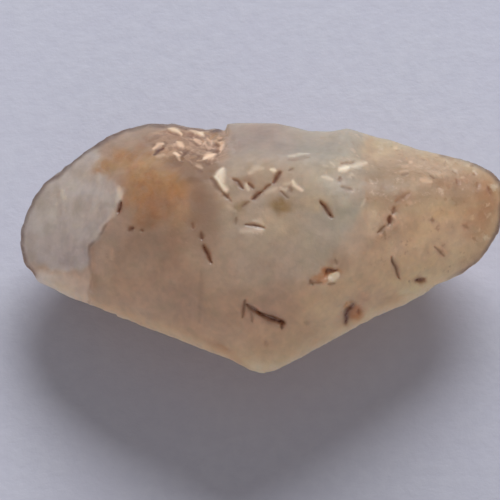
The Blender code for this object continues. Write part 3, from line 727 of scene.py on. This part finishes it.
def object_from(name, points, faces, tint=None, smooth_shade=True):
    mesh = bpy.data.meshes.new(name)
    mesh.from_pydata((points * MM).tolist(), [], [list(f) for f in faces])
    mesh.validate()
    for key, value in (tint or {}).items():
        mesh.attributes.new(key, "FLOAT", "POINT").data.foreach_set("value", value.astype(np.float32))
    if smooth_shade:
        mesh.shade_smooth()
    obj = bpy.data.objects.new(name, mesh)
    bpy.context.scene.collection.objects.link(obj)
    return obj


# ---- materials --------------------------------------------------------------------------------------
def srgb(r, g, b):
    """An sRGB colour from 0 to 255, as linear values."""
    return tuple((c / 255 / 12.92) if c <= 10 else ((c / 255 + 0.055) / 1.055) ** 2.4 for c in (r, g, b)) + (1.0,)


class Nodes:
    """Short names for the nodes that the materials use. Lengths are in millimetres."""

    def __init__(self, name):
        self.material = bpy.data.materials.new(name)
        self.material.use_nodes = True
        self.tree = self.material.node_tree
        self.shader = self.tree.nodes["Principled BSDF"]
        self.output = self.tree.nodes["Material Output"]
        place = self.tree.nodes.new("ShaderNodeTexCoord")
        self.place = self.scaled(place.outputs["Object"], (1 / MM,) * 3)

    def link(self, a, b):
        self.tree.links.new(a, b)

    def value(self, socket, given):
        if isinstance(given, (int, float, tuple)):
            socket.default_value = given
        else:
            self.link(given, socket)

    def scaled(self, vector, factors):
        node = self.tree.nodes.new("ShaderNodeVectorMath")
        node.operation = "MULTIPLY"
        self.link(vector, node.inputs[0])
        node.inputs[1].default_value = factors
        return node.outputs[0]

    def attribute(self, name):
        node = self.tree.nodes.new("ShaderNodeAttribute")
        node.attribute_name = name
        return node.outputs["Fac"]

    def noise(self, size, detail=3.0, roughness=0.55, distortion=0.0, stretch=(1.0, 1.0, 1.0)):
        node = self.tree.nodes.new("ShaderNodeTexNoise")
        self.link(self.scaled(self.place, tuple(1 / (size * s) for s in stretch)), node.inputs["Vector"])
        node.inputs["Scale"].default_value = 1.0
        node.inputs["Detail"].default_value = detail
        node.inputs["Roughness"].default_value = roughness
        node.inputs["Distortion"].default_value = distortion
        return node.outputs["Fac"]

    def cells(self, size, randomness=1.0):
        """Distance from the middle of each cell, in cells."""
        node = self.tree.nodes.new("ShaderNodeTexVoronoi")
        self.link(self.scaled(self.place, (1 / size,) * 3), node.inputs["Vector"])
        node.inputs["Scale"].default_value = 1.0
        node.inputs["Randomness"].default_value = randomness
        return node.outputs["Distance"]

    def math(self, operation, a, b=0.0, clamp=False):
        node = self.tree.nodes.new("ShaderNodeMath")
        node.operation = operation
        node.use_clamp = clamp
        self.value(node.inputs[0], a)
        self.value(node.inputs[1], b)
        return node.outputs[0]

    def times(self, a, b):
        return self.math("MULTIPLY", a, b)

    def range(self, x, low, high, to_low=0.0, to_high=1.0):
        node = self.tree.nodes.new("ShaderNodeMapRange")
        node.interpolation_type = "SMOOTHSTEP"
        self.value(node.inputs["Value"], x)
        for key, v in (("From Min", low), ("From Max", high), ("To Min", to_low), ("To Max", to_high)):
            node.inputs[key].default_value = v
        return node.outputs[0]

    def mix(self, factor, a, b, blend="MIX"):
        node = self.tree.nodes.new("ShaderNodeMix")
        node.data_type = "RGBA"
        node.blend_type = blend
        self.value(node.inputs[0], factor)
        self.value(node.inputs[6], a)
        self.value(node.inputs[7], b)
        return node.outputs[2]

    def bump(self, height, strength=1.0):
        """Bump from a height in millimetres."""
        node = self.tree.nodes.new("ShaderNodeBump")
        node.inputs["Strength"].default_value = strength
        node.inputs["Distance"].default_value = MM
        self.link(height, node.inputs["Height"])
        self.link(node.outputs[0], self.shader.inputs["Normal"])


def sapphire_material():
    n = Nodes("worn_sapphire")
    s = n.shader
    cloud = n.noise(1.7, 4)
    veins = n.noise(0.75, 5, 0.62, 1.2)
    mottle = n.noise(0.42, 4, 0.6)
    grain = n.noise(0.26, 3)
    fine = n.noise(0.085, 2)
    hue = n.noise(0.55, 2)

    # the body: mauve brown to the left, with painted light making it paler over the lower front, tan to the right,
    # greyer and frosted in the middle
    colour = n.mix(n.range(cloud, 0.32, 0.68), srgb(211, 183, 157), srgb(223, 196, 170))
    colour = n.mix(n.times(n.attribute("left"), 0.88), colour, srgb(194, 160, 133))
    colour = n.mix(n.times(n.attribute("low"), 0.8), colour, srgb(236, 199, 166))
    colour = n.mix(n.times(n.attribute("lowleft_light"), 0.85), colour, srgb(226, 196, 168))
    colour = n.mix(n.attribute("tip"), colour, n.mix(n.range(cloud, 0.35, 0.65), srgb(226, 197, 163), srgb(236, 209, 177)))
    frost = n.mix(n.attribute("green"), srgb(192, 170, 154), srgb(199, 187, 166))
    frost = n.mix(n.times(n.attribute("tan"), 0.8), frost, srgb(208, 184, 153))
    colour = n.mix(n.attribute("frost"), colour, n.mix(n.times(n.range(cloud, 0.35, 0.65), 0.5), frost, srgb(204, 187, 170)))
    colour = n.mix(n.times(n.attribute("yellow"), 0.8), colour, srgb(214, 184, 150))
    colour = n.mix(n.times(n.attribute("brown"), 0.9), colour, srgb(183, 151, 118))
    colour = n.mix(n.times(n.attribute("end"), 0.75), colour, srgb(208, 166, 128))
    # paler patches, and painted light over the lower right
    colour = n.mix(n.times(n.attribute("pale"), 0.95), colour, srgb(250, 222, 181))
    colour = n.mix(n.times(n.attribute("beside"), 0.6), colour, srgb(210, 184, 162))
    # the blunt end: smooth and paler, greyer below, with faint upright streaks
    streaks = n.noise(0.75, 3, 0.55, 0.8, (1.0, 2.6, 2.6))
    cap = n.mix(n.range(streaks, 0.35, 0.65), srgb(209, 195, 184), srgb(222, 208, 196))
    colour = n.mix(n.attribute("cap"), colour, cap)
    colour = n.mix(n.times(n.attribute("capshade"), 0.8), colour, n.mix(n.range(streaks, 0.35, 0.65), srgb(209, 195, 190), srgb(219, 206, 201)))
    # painted glow over the lower corner of the blunt end
    colour = n.mix(n.times(n.attribute("cream_glow"), 0.75), colour, srgb(243, 216, 200))
    colour = n.mix(n.times(n.attribute("mauve"), 0.35), colour, srgb(192, 168, 156))
    # the sides that the light of the table never cleaned: a thin crust in the hollows, and iron stains
    crust = n.times(n.attribute("away"), n.range(n.noise(2.4, 5, 0.6), 0.50, 0.72))
    colour = n.mix(n.times(crust, 0.65), colour, srgb(206, 146, 96))
    colour = n.mix(n.times(n.attribute("terrace"), 0.22), colour, srgb(150, 118, 92))
    # orange iron stain, branching along fine fractures, reddish at its lower edge
    stain = n.times(n.attribute("stain"), n.range(veins, 0.30, 0.60, 0.45, 1.0))
    ochre = n.mix(n.range(cloud, 0.4, 0.62), srgb(205, 153, 98), srgb(203, 158, 107))
    colour = n.mix(stain, colour, n.mix(n.times(n.range(mottle, 0.5, 0.36), 0.5), ochre, srgb(188, 128, 80)))
    rust = n.times(n.attribute("rust"), n.range(veins, 0.32, 0.62, 0.4, 1.0))
    colour = n.mix(n.times(rust, 0.7), colour, srgb(180, 118, 76))
    colour = n.mix(n.times(n.times(n.attribute("olive"), n.range(mottle, 0.35, 0.6, 0.6, 1.0)), 0.95), colour, srgb(172, 138, 88))
    # soft light and dark mottling at three sizes, with a little pink and green in it
    for size, low, high in ((1.1, 0.945, 1.055), (0.48, 0.94, 1.055), (0.22, 0.965, 1.035)):
        tone = n.range(n.noise(size, 2, 0.5, 0.4), 0.28, 0.72, low, high)
        colour = n.mix(1.0, colour, tone, "MULTIPLY")
    colour = n.mix(n.times(n.range(mottle, 0.57, 0.72), n.times(n.attribute("tip"), 0.5)), colour, srgb(255, 228, 200))
    colour = n.mix(n.times(n.range(mottle, 0.42, 0.28), n.times(n.attribute("tip"), 0.45)), colour, srgb(164, 120, 84))
    colour = n.mix(n.times(n.range(hue, 0.52, 0.72), 0.05), colour, srgb(214, 168, 148))
    colour = n.mix(n.times(n.range(hue, 0.48, 0.30), 0.12), colour, srgb(188, 180, 142))
    # painted shade along the shoulder, four per cent darker
    colour = n.mix(1.0, colour, n.range(n.attribute("ledge"), 0.0, 1.0, 1.0, 0.96), "MULTIPLY")
    # painted shade below and beside the flaked patch
    colour = n.mix(n.times(n.attribute("shade"), 0.85), colour, srgb(162, 125, 97))
    # each flake has its own tone, warm beside the stain and paler on the frosted face
    flake = n.mix(n.range(n.attribute("cell"), 0.2, 0.8), srgb(132, 98, 74), srgb(178, 142, 114))
    colour = n.mix(n.times(n.attribute("flake"), n.mix(n.attribute("frost"), (0.85,) * 3 + (1.0,), (0.3,) * 3 + (1.0,))), colour, flake)
    # the same painted shade, kept over the flakes' own tones
    colour = n.mix(1.0, colour, n.range(n.attribute("shade"), 0.3, 1.0, 1.0, 0.84), "MULTIPLY")
    # painted glow along the lower front edges
    colour = n.mix(n.times(n.attribute("edge"), n.range(veins, 0.35, 0.6, 0.15, 0.5)), colour, srgb(255, 208, 164))
    colour = n.mix(n.times(n.attribute("lip"), 0.32), colour, srgb(250, 234, 216))
    colour = n.mix(n.attribute("line"), colour, srgb(140, 100, 74))
    colour = n.mix(n.times(n.attribute("pit"), n.range(mottle, 0.3, 0.6, 0.7, 0.95)), colour, srgb(214, 146, 92))
    colour = n.mix(n.times(n.attribute("halo"), 0.34), colour, srgb(158, 104, 66))
    # painted highlights on the chips, and painted shadow along the edges cut in below them
    colour = n.mix(n.attribute("chip_highlight"), colour, n.mix(n.math("MAXIMUM", n.attribute("frost"), n.attribute("cap")), srgb(246, 208, 174), srgb(238, 220, 196)))
    colour = n.mix(n.attribute("undercut_shadow"), colour, srgb(112, 66, 34))
    colour = n.mix(n.attribute("white"), colour, srgb(255, 224, 192))
    # painted shade along the outline, dark brown-grey
    colour = n.mix(n.times(n.attribute("rim"), n.range(veins, 0.35, 0.55, 0.7, 0.95)), colour, srgb(90, 67, 62))
    colour = n.mix(n.times(n.attribute("crack"), 0.97), colour, srgb(114, 54, 5))
    n.link(colour, s.inputs["Base Color"])

    # frosted all over, glossier on fresh chips and in the clean cracks
    rough = n.range(n.math("ADD", n.times(grain, 0.6), n.times(cloud, 0.4)), 0.35, 0.65, 0.40, 0.58)
    rough = n.math("SUBTRACT", rough, n.times(n.attribute("chip_highlight"), 0.06))
    rough = n.math("SUBTRACT", rough, n.times(n.math("MAXIMUM", n.attribute("crack"), n.attribute("undercut_shadow")), 0.2), clamp=True)
    rough = n.math("ADD", rough, n.times(crust, 0.15), clamp=True)
    rough = n.math("ADD", rough, n.times(n.attribute("flake"), 0.16), clamp=True)
    rough = n.math("ADD", rough, n.times(n.attribute("ledge"), 0.35), clamp=True)
    n.link(rough, s.inputs["Roughness"])
    s.inputs["IOR"].default_value = 1.77
    s.inputs["Specular IOR Level"].default_value = 0.3
    clear = n.math("MULTIPLY_ADD", n.attribute("clear"), 0.40)
    clear.node.inputs[2].default_value = 0.13
    chipped = n.math("MAXIMUM", n.math("MAXIMUM", n.attribute("chip_highlight"), n.attribute("white")), n.times(n.attribute("flake"), 0.6))
    clear = n.times(clear, n.math("SUBTRACT", 1.0, n.times(chipped, 0.8)))
    clear = n.math("SUBTRACT", clear, n.times(n.attribute("cream_glow"), 0.08))
    n.link(n.math("SUBTRACT", clear, n.times(n.attribute("edge"), 0.1), clamp=True), s.inputs["Transmission Weight"])
    s.inputs["Subsurface Weight"].default_value = 0.9
    s.inputs["Subsurface Radius"].default_value = (1.0, 0.76, 0.56)
    s.inputs["Subsurface Scale"].default_value = 5.0 * MM

    # frosting, tiny etch pits, and growth lines across the long axis
    lines = n.noise(0.13, 3, 0.5, 0.3, (1.0, 14.0, 14.0))
    pits = n.range(n.cells(0.21), 0.0, 0.34, -1.0, 0.0)
    height = n.math("ADD", n.times(grain, 0.014), n.times(fine, 0.005))
    height = n.math("ADD", height, n.times(n.times(lines, n.math("ADD", n.times(n.attribute("away"), 0.014), 0.003)), 1.0))
    height = n.math("ADD", height, n.times(n.times(pits, n.range(cloud, 0.42, 0.62)), 0.006))
    n.bump(height, 0.85)

    absorb = n.tree.nodes.new("ShaderNodeVolumeAbsorption")
    absorb.inputs["Color"].default_value = (0.93, 0.74, 0.55, 1.0)
    absorb.inputs["Density"].default_value = 60.0
    n.link(absorb.outputs[0], n.output.inputs["Volume"])
    return n.material


def sealed_material(name, dark, light, size, roughness, metallic=0.0):
    """A plain opaque mineral, mottled between two tones."""
    n = Nodes(name)
    n.link(n.mix(n.range(n.noise(size, 3), 0.35, 0.65), dark, light), n.shader.inputs["Base Color"])
    n.link(n.range(n.noise(size * 0.6, 2), 0.3, 0.7, *roughness), n.shader.inputs["Roughness"])
    n.shader.inputs["Metallic"].default_value = metallic
    n.bump(n.times(n.noise(size * 0.5, 2), 0.004), 0.6)
    return n.material


# ---- what is sealed in the crystal ------------------------------------------------------------------
def depth_in(tree, place):
    """How far inside the skin a place is, in millimetres; below zero is outside."""
    near, normal, _, distance = tree.find_nearest(Vector(place))
    return distance if (Vector(place) - near).dot(normal) < 0 else -distance


def film(grid, keep, thickness):
    """A thin closed sheet through a grid of places, where keep says which of its cells are there."""
    rows, columns = grid.shape[:2]
    along_rows = np.gradient(grid, axis=0)
    along_columns = np.gradient(grid, axis=1)
    normal = np.cross(along_rows, along_columns)
    normal /= np.maximum(np.linalg.norm(normal, axis=2, keepdims=True), 1e-9)
    points = np.concatenate([(grid + normal * thickness / 2).reshape(-1, 3), (grid - normal * thickness / 2).reshape(-1, 3)])
    under = rows * columns
    faces = []
    for i in range(rows - 1):
        for j in range(columns - 1):
            if not keep[i, j]:
                continue
            a, b, c, d = i * columns + j, i * columns + j + 1, (i + 1) * columns + j + 1, (i + 1) * columns + j
            faces.append((a, d, c, b))
            faces.append((under + a, under + b, under + c, under + d))
            for (p, q), (k, l) in zip(((a, b), (b, c), (c, d), (d, a)), ((i - 1, j), (i, j + 1), (i + 1, j), (i, j - 1))):
                if not (0 <= k < rows - 1 and 0 <= l < columns - 1 and keep[k, l]):
                    faces.append((p, q, under + q, under + p))
    return points, faces


def joined(pieces):
    """Several shapes as one list of points and one of faces, without the points that no face uses."""
    points, faces, start = [], [], 0
    for some, theirs in pieces:
        used = sorted({i for face in theirs for i in face})
        place = {old: start + new for new, old in enumerate(used)}
        points.append(np.asarray(some)[used])
        faces += [tuple(place[i] for i in face) for face in theirs]
        start += len(used)
    return np.concatenate(points), faces


def crack_films(tree):
    """The iron-stained films on which the surface cracks go down into the crystal."""
    rng = np.random.default_rng(21)
    pieces = []
    for path, half, _, strength in CRACKS:
        if strength < 0.4:
            continue
        spots = np.array(path, float)
        runs = np.concatenate([[0], np.cumsum(np.linalg.norm(np.diff(spots, axis=0), axis=1))])
        count = max(5, int(runs[-1] / 1.1))
        at = np.linspace(0, runs[-1], count)
        line = [surface_at(tree, np.interp(s, runs, spots[:, 0]), np.interp(s, runs, spots[:, 1])) for s in at]
        if any(place is None for place, _ in line):
            continue
        lean = RISE * rng.uniform(-0.9, 0.5) + ACROSS * rng.uniform(-0.3, 0.3)
        deep = rng.uniform(0.3, 0.8) * strength
        grid = np.zeros((9, count, 3))
        for j, (place, normal) in enumerate(line):
            way = -normal + lean
            way /= np.linalg.norm(way)
            reach = deep * (0.35 + 0.65 * math.sin(math.pi * (j + 0.5) / count)) * rng.uniform(0.8, 1.1)
            for i in range(9):
                grid[i, j] = place + way * (0.12 + reach * i / 8)
                inner = depth_in(tree, grid[i, j])
                if inner < 0.06:
                    grid[i, j] -= normal * (0.08 - min(inner, 0.06))
        grid += np.stack([noise(grid.reshape(-1, 3), 0.4, 60 + k) for k in range(3)], 1).reshape(grid.shape) * 0.02
        sunk = np.array([[depth_in(tree, spot) > 0.035 for spot in row] for row in grid])
        pieces.append(film(grid, sunk[:-1, :-1] & sunk[1:, :-1] & sunk[:-1, 1:] & sunk[1:, 1:], 0.010))
    return joined([piece for piece in pieces if piece[1]])


def stain_films(tree):
    """Curved fractures filled with orange iron stain, below the blunt half."""
    pieces = []
    for seed, (x0, y0, x1, y1, base, dip) in enumerate(
        ((100, 136, 214, 236, 0.30, 0.10), (126, 150, 232, 262, 0.75, -0.12), (462, 168, 500, 262, 0.35, 0.08))
    ):
        rows, columns = 64, 72
        grid = np.zeros((rows, columns, 3))
        found = np.ones((rows, columns), bool)
        for i in range(rows):
            for j in range(columns):
                px, py = x0 + (x1 - x0) * j / (columns - 1), y0 + (y1 - y0) * i / (rows - 1)
                place, _ = surface_at(tree, px, py)
                if place is None:
                    found[i, j] = False
                    place = grid[i, j - 1] if j else np.array([0.0, 0.0, 3.5])
                    grid[i, j] = place
                    continue
                grid[i, j] = place - BACK * (base + dip * (i / rows - 0.5) * 4)
        flat = grid.reshape(-1, 3)
        ripple = layered(flat, 1.1, 300 + seed, 3).reshape(rows, columns)
        grid = grid - BACK * (0.22 * ripple)[:, :, None]
        lace = layered(flat, 0.7, 310 + seed, 5, 0.65).reshape(rows, columns)
        i, j = np.mgrid[0:rows, 0:columns]
        oval = np.sqrt(((i / (rows - 1) - 0.5) * 2) ** 2 + ((j / (columns - 1) - 0.5) * 2) ** 2)
        for a in range(rows):
            for b in range(columns):
                if found[a, b] and depth_in(tree, grid[a, b]) < 0.10:
                    found[a, b] = False
        solid = found & (lace > -0.02 + 0.5 * smooth(oval, 0.6, 1.0)) & (oval < 1.0)
        keep = solid[:-1, :-1] & solid[1:, :-1] & solid[:-1, 1:] & solid[1:, 1:]
        pieces.append(film(grid, keep, 0.012))
    return joined(pieces)


def droplet(middle, axes, sizes):
    """A small flattened drop with 32 faces."""
    corners = np.array([[1, 0, 0], [-1, 0, 0], [0, 1, 0], [0, -1, 0], [0, 0, 1], [0, 0, -1]], float)
    eight = [(0, 2, 4), (2, 1, 4), (1, 3, 4), (3, 0, 4), (2, 0, 5), (1, 2, 5), (3, 1, 5), (0, 3, 5)]
    points, faces, middles = [tuple(c) for c in corners], [], {}

    def between(a, b):
        key = (min(a, b), max(a, b))
        if key not in middles:
            spot = np.array(points[a]) + np.array(points[b])
            points.append(tuple(spot / np.linalg.norm(spot)))
            middles[key] = len(points) - 1
        return middles[key]

    for a, b, c in eight:
        ab, bc, ca = between(a, b), between(b, c), between(c, a)
        faces += [(a, ab, ca), (ab, b, bc), (ca, bc, c), (ab, bc, ca)]
    return middle + (np.array(points) * sizes) @ axes, faces


def healed_fractures(tree):
    """Fingerprints: healed fractures, each a curved sheet of tiny flattened droplets in wavering rows."""
    rng = np.random.default_rng(33)
    pieces = []
    sheets = (
        (np.array([3.4, 0.6, 4.2]), (1.9, 1.1), (0.45, 0.25, 1.0), 300),
        (np.array([-0.6, 0.9, 4.9]), (1.8, 0.9), (-0.3, 0.45, 1.0), 260),
        (np.array([5.6, -0.4, 3.6]), (1.3, 0.9), (0.2, -0.4, 1.0), 170),
        (np.array([-5.4, -0.6, 3.6]), (1.2, 1.1), (0.5, 0.1, 1.0), 150),
    )
    for number, (middle, (long, wide), normal, count) in enumerate(sheets):
        normal = np.array(normal) / np.linalg.norm(normal)
        first = np.cross(normal, [0.0, 1.0, 0.1])
        first /= np.linalg.norm(first)
        second = np.cross(normal, first)
        made = 0
        for _ in range(count * 8):
            if made >= count:
                break
            a, b = rng.uniform(-1, 1, 2)
            if a * a + b * b > 1:
                continue
            place = middle + first * a * long + second * b * wide
            wave = noise(place[None], 0.5, 400 + number)[0]
            if abs(math.sin(9 * b + 3 * a + 2.2 * wave)) < 0.45:
                continue
            place = place + normal * (0.35 * a * a - 0.2 * b + 0.10 * wave)
            if depth_in(tree, place) < 0.15:
                continue
            size = rng.uniform(0.012, 0.034)
            turn = rng.uniform(0, math.pi)
            x = first * math.cos(turn) + second * math.sin(turn)
            axes = np.stack([x, np.cross(normal, x), normal])
            pieces.append(droplet(place, axes, np.array([size * rng.uniform(1.0, 2.4), size, size * 0.4])))
            made += 1
    return joined(pieces)


def silk(tree):
    """Rutile needles, which lie across the long axis in three directions 60 degrees apart."""
    rng = np.random.default_rng(44)
    pieces = []
    while len(pieces) < 130:
        middle = rng.uniform([-7.5, -3.6, 0.8], [7.8, 3.6, 6.0])
        if rng.uniform() > 0.25 and not 0.2 < abs(noise(middle[None], 1.8, 46)[0]):
            continue
        turn = math.radians(rng.choice([20.0, 80.0, 140.0]) + rng.normal(0, 1.5))
        way = np.array([rng.normal(0, 0.03), math.cos(turn), math.sin(turn)])
        way /= np.linalg.norm(way)
        half, radius = rng.uniform(0.15, 0.62), rng.uniform(0.006, 0.013)
        if min(depth_in(tree, middle + way * half * k) for k in (-1.0, 0.0, 1.0)) < 0.08:
            continue
        side = np.cross(way, [1.0, 0.0, 0.0])
        side /= np.linalg.norm(side)
        other = np.cross(way, side)
        ring = [side * math.cos(a) + other * math.sin(a) for a in np.arange(6) * math.pi / 3]
        points = [middle + way * half * 0.94 + r * radius for r in ring] + [middle - way * half * 0.94 + r * radius for r in ring]
        points += [middle + way * half, middle - way * half]
        faces = [(k, 6 + k, 6 + (k + 1) % 6, (k + 1) % 6) for k in range(6)]
        faces += [(12, k, (k + 1) % 6) for k in range(6)] + [(13, 6 + (k + 1) % 6, 6 + k) for k in range(6)]
        pieces.append((np.array(points), faces))
    return joined(pieces)


# ---- build ------------------------------------------------------------------------------------------
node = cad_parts["sapphire_crystal"]
points, quads = skin_of(node)
points = relax(points, quads, 7, 0.5)
places = plane_of(points)
steps = np.maximum.reduce([stroke(places, path, width, 0.0) for path, width in SOFT_STEPS])
points = relax(points, quads, 58, 0.5, steps[:, None])
points = relax(points, quads, 58, 0.5, steps[:, None], 0.0)
points = fit_outline(points)
faces = in_triangles(points, quads)
marks = side_marks(points, normals_of(points, faces))
# how far each place leans to the back, evened out over half a millimetre, goes along as a fourth number
slope = spread(normals_of(points, quads)[:, 1], edges_of(quads), 85)
points = np.column_stack([points, slope])
for reach in (0.07, 0.0):
    points, faces = halve(points, faces, wanted(points[:, :3], faces, marks, reach))
points, slope = points[:, :3], points[:, 3]
points = relax(points, faces, 2, 0.4)
points, tint = shape_and_zones(points, faces, marks, slope)
print("SKIN", len(points), "points", len(faces), "triangles")
crystal = object_from("crystal", points, faces, tint)
crystal.data.materials.append(sapphire_material())
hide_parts("sapphire_crystal")

tree = BVHTree.FromPolygons(points.tolist(), faces.tolist())
sealed = [
    ("crack_films", crack_films(tree), sealed_material("iron_film", srgb(58, 32, 18), srgb(96, 58, 32), 0.3, (0.35, 0.6))),
    ("stain_films", stain_films(tree), sealed_material("orange_film", srgb(176, 92, 40), srgb(214, 134, 72), 0.5, (0.3, 0.6))),
    ("healed_fractures", healed_fractures(tree), sealed_material("droplets", srgb(226, 216, 206), srgb(250, 244, 236), 0.4, (0.05, 0.2))),
    ("silk", silk(tree), sealed_material("rutile", srgb(150, 104, 62), srgb(204, 160, 104), 0.4, (0.15, 0.35), 0.3)),
]
for name, (places, theirs), material in sealed:
    piece = object_from(name, places, theirs, smooth_shade=False)
    piece.data.materials.append(material)
    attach(piece, "root")
    print("SEALED", name, len(theirs), "faces")
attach(crystal, "root")


# ---- floor, light, camera ---------------------------------------------------------------------------
def paper_material():
    n = Nodes("paper")
    s = n.shader
    tooth = n.noise(0.55, 5, 0.6)
    blotch = n.noise(5.0, 3)
    colour = n.mix(n.range(tooth, 0.3, 0.7), (0.60, 0.60, 0.685, 1.0), (0.635, 0.635, 0.715, 1.0))
    colour = n.mix(n.times(n.range(blotch, 0.35, 0.65), 0.5), colour, (0.61, 0.605, 0.70, 1.0))
    split = n.tree.nodes.new("ShaderNodeSeparateXYZ")
    n.link(n.place, split.inputs[0])
    # painted falloff: the paper darker towards the lower right, as if less light reached it
    painted_falloff = n.range(n.math("SUBTRACT", n.times(split.outputs[0], 0.6), split.outputs[1]), 6.0, 16.0, 1.0, 0.88)
    n.link(n.mix(1.0, colour, painted_falloff, "MULTIPLY"), s.inputs["Base Color"])
    n.link(n.range(tooth, 0.3, 0.7, 0.82, 0.96), s.inputs["Roughness"])
    s.inputs["Specular IOR Level"].default_value = 0.1
    n.bump(n.math("ADD", n.times(tooth, 0.05), n.times(n.noise(0.16, 3, 0.6, 0.0, (2.5, 1.0, 1.0)), 0.012)), 0.5)
    return n.material


floor = object_from(
    "paper",
    np.array([[-900, -900, 0], [900, -900, 0], [900, 900, 0], [-900, 900, 0]], float),
    [(0, 1, 2, 3)],
)
floor.data.materials.append(paper_material())


def area_light(name, place, size, power, colour):
    light = bpy.data.lights.new(name, "AREA")
    light.shape = "ELLIPSE"
    light.size, light.size_y = size[0] * MM, size[1] * MM
    light.energy = power
    light.color = colour
    obj = bpy.data.objects.new(name, light)
    obj.location = Vector(place) * MM
    obj.rotation_mode = "QUATERNION"
    obj.rotation_quaternion = (Vector((0, 0, 3)) * MM - obj.location).to_track_quat("-Z", "Y")
    obj.visible_camera = False
    bpy.context.scene.collection.objects.link(obj)
    return obj


area_light("window", (36, 232, 163), (215, 110), 0.85, (0.935, 0.96, 1.0))
area_light("bounce", (-20, -155, 30), (110, 110), 0.036, (1.0, 0.95, 0.90))
world = bpy.data.worlds.new("room")
world.use_nodes = True
world.node_tree.nodes["Background"].inputs["Color"].default_value = (0.96, 0.945, 0.985, 1.0)
world.node_tree.nodes["Background"].inputs["Strength"].default_value = 0.245
bpy.context.scene.world = world
bpy.context.scene.view_settings.view_transform = "Standard"

camera = bpy.data.cameras.new("camera")
camera.sensor_width = 36.0
camera.angle = 2 * math.atan(250 * PX / DISTANCE)
camera.clip_start = 0.005
camera.clip_end = 10.0
camera_object = bpy.data.objects.new("camera", camera)
camera_object.location = Vector(TARGET + BACK * DISTANCE) * MM
camera_object.rotation_mode = "QUATERNION"
camera_object.rotation_quaternion = Vector(-BACK).to_track_quat("-Z", "Y")
bpy.context.scene.collection.objects.link(camera_object)
bpy.context.scene.camera = camera_object
